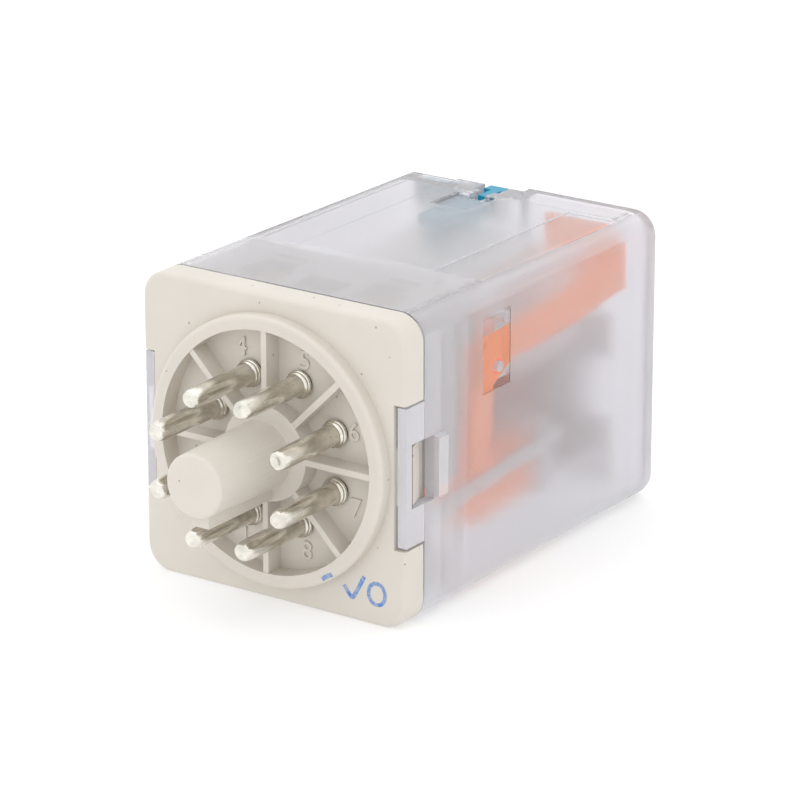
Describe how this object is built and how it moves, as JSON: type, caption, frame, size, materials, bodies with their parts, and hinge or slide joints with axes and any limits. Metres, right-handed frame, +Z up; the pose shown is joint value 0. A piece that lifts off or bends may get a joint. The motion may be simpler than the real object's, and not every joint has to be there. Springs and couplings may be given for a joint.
{
  "type": "plug in relay",
  "caption": "Plug in control relay with an octal base, a clear cover, change-over contacts, an indicator flag and a lockable test button.",
  "frame": {"origin": "centre of the bounding box's bottom, with the relay lying on one flat side of its cover", "axes": "+Y from the plug's pins towards the cover's far end, +Z up, away from the side with the plug's key, +X to the right as seen from the pins"},
  "size_m": [0.0364, 0.0662, 0.0352],
  "materials": {
    "base_plastic": "satin moulded warm light grey",
    "clear_plastic": "clear polycarbonate, frosted on most of its faces",
    "pin_metal": "bright nickel plate",
    "orange_plastic": "satin moulded orange",
    "teal_plastic": "satin moulded teal",
    "bobbin_plastic": "satin moulded off-white",
    "winding": "enamelled copper wire",
    "plated_steel": "zinc plated soft iron and steel",
    "contact_bronze": "rolled bronze strip",
    "contact_silver": "silver alloy"
  },
  "bodies": {
    "base": {"base": "base_plastic", "coil_bobbin": "bobbin_plastic", "coil_terminal_left": "plated_steel", "coil_terminal_right": "plated_steel", "coil_winding": "winding", "common_strip_left": "contact_bronze", "common_strip_right": "contact_bronze", "core": "plated_steel", "cover": "clear_plastic", "nc_contact_left": "contact_silver", "nc_contact_right": "contact_silver", "nc_strip_left": "contact_bronze", "nc_strip_right": "contact_bronze", "no_contact_left": "contact_silver", "no_contact_right": "contact_silver", "no_strip_left": "contact_bronze", "no_strip_right": "contact_bronze", "pin_1": "pin_metal", "pin_2": "pin_metal", "pin_3": "pin_metal", "pin_4": "pin_metal", "pin_5": "pin_metal", "pin_6": "pin_metal", "pin_7": "pin_metal", "pin_8": "pin_metal", "return_spring": "plated_steel", "yoke": "plated_steel"},
    "armature": {"armature": "plated_steel", "contact_lifter": "orange_plastic"},
    "blade_left": {"moving_blade_left": "contact_bronze", "moving_contact_left": "contact_silver"},
    "blade_right": {"moving_blade_right": "contact_bronze", "moving_contact_right": "contact_silver"},
    "flag": {"flag_lever": "orange_plastic"},
    "button": {"test_button": "teal_plastic"},
    "lock": {"lock_lever": "teal_plastic"}
  },
  "joints": [
    {"name": "button_slide", "type": "slide", "parent": "base", "child": "button", "axis": [0, -1, 0], "range_m": [0, 0.0015], "stiffness_N_per_m": 400, "springref_m": -0.0005},
    {"name": "armature_hinge", "type": "hinge", "parent": "base", "child": "armature", "pos_m": [0, 0.0047, 0.02815], "axis": [-1, 0, 0], "range_deg": [0, 5], "deforming": ["return_spring"]},
    {"name": "blade_left_flex", "type": "hinge", "parent": "base", "child": "blade_left", "pos_m": [-0.0075, -0.00665, 0.0296], "axis": [-1, 0, 0], "range_deg": [0, 4.7]},
    {"name": "blade_right_flex", "type": "hinge", "parent": "base", "child": "blade_right", "pos_m": [0.0075, -0.00665, 0.0296], "axis": [-1, 0, 0], "range_deg": [0, 4.7]},
    {"name": "flag_hinge", "type": "hinge", "parent": "base", "child": "flag", "pos_m": [0.01485, 0.0012, 0.0248], "axis": [-1, 0, 0], "range_deg": [0, 6]},
    {"name": "lock_hinge", "type": "hinge", "parent": "base", "child": "lock", "pos_m": [-0.0079, 0.0303, 0.03185], "axis": [0, 0, -1], "range_deg": [0, 90]}
  ],
  "couplings": [
    {"joint": "armature_hinge", "follows": "button_slide", "rad_per_m": 58.177},
    {"joint": "blade_left_flex", "follows": "button_slide", "rad_per_m": 54.685},
    {"joint": "blade_right_flex", "follows": "button_slide", "rad_per_m": 54.685},
    {"joint": "flag_hinge", "follows": "button_slide", "rad_per_m": 69.812}
  ]
}
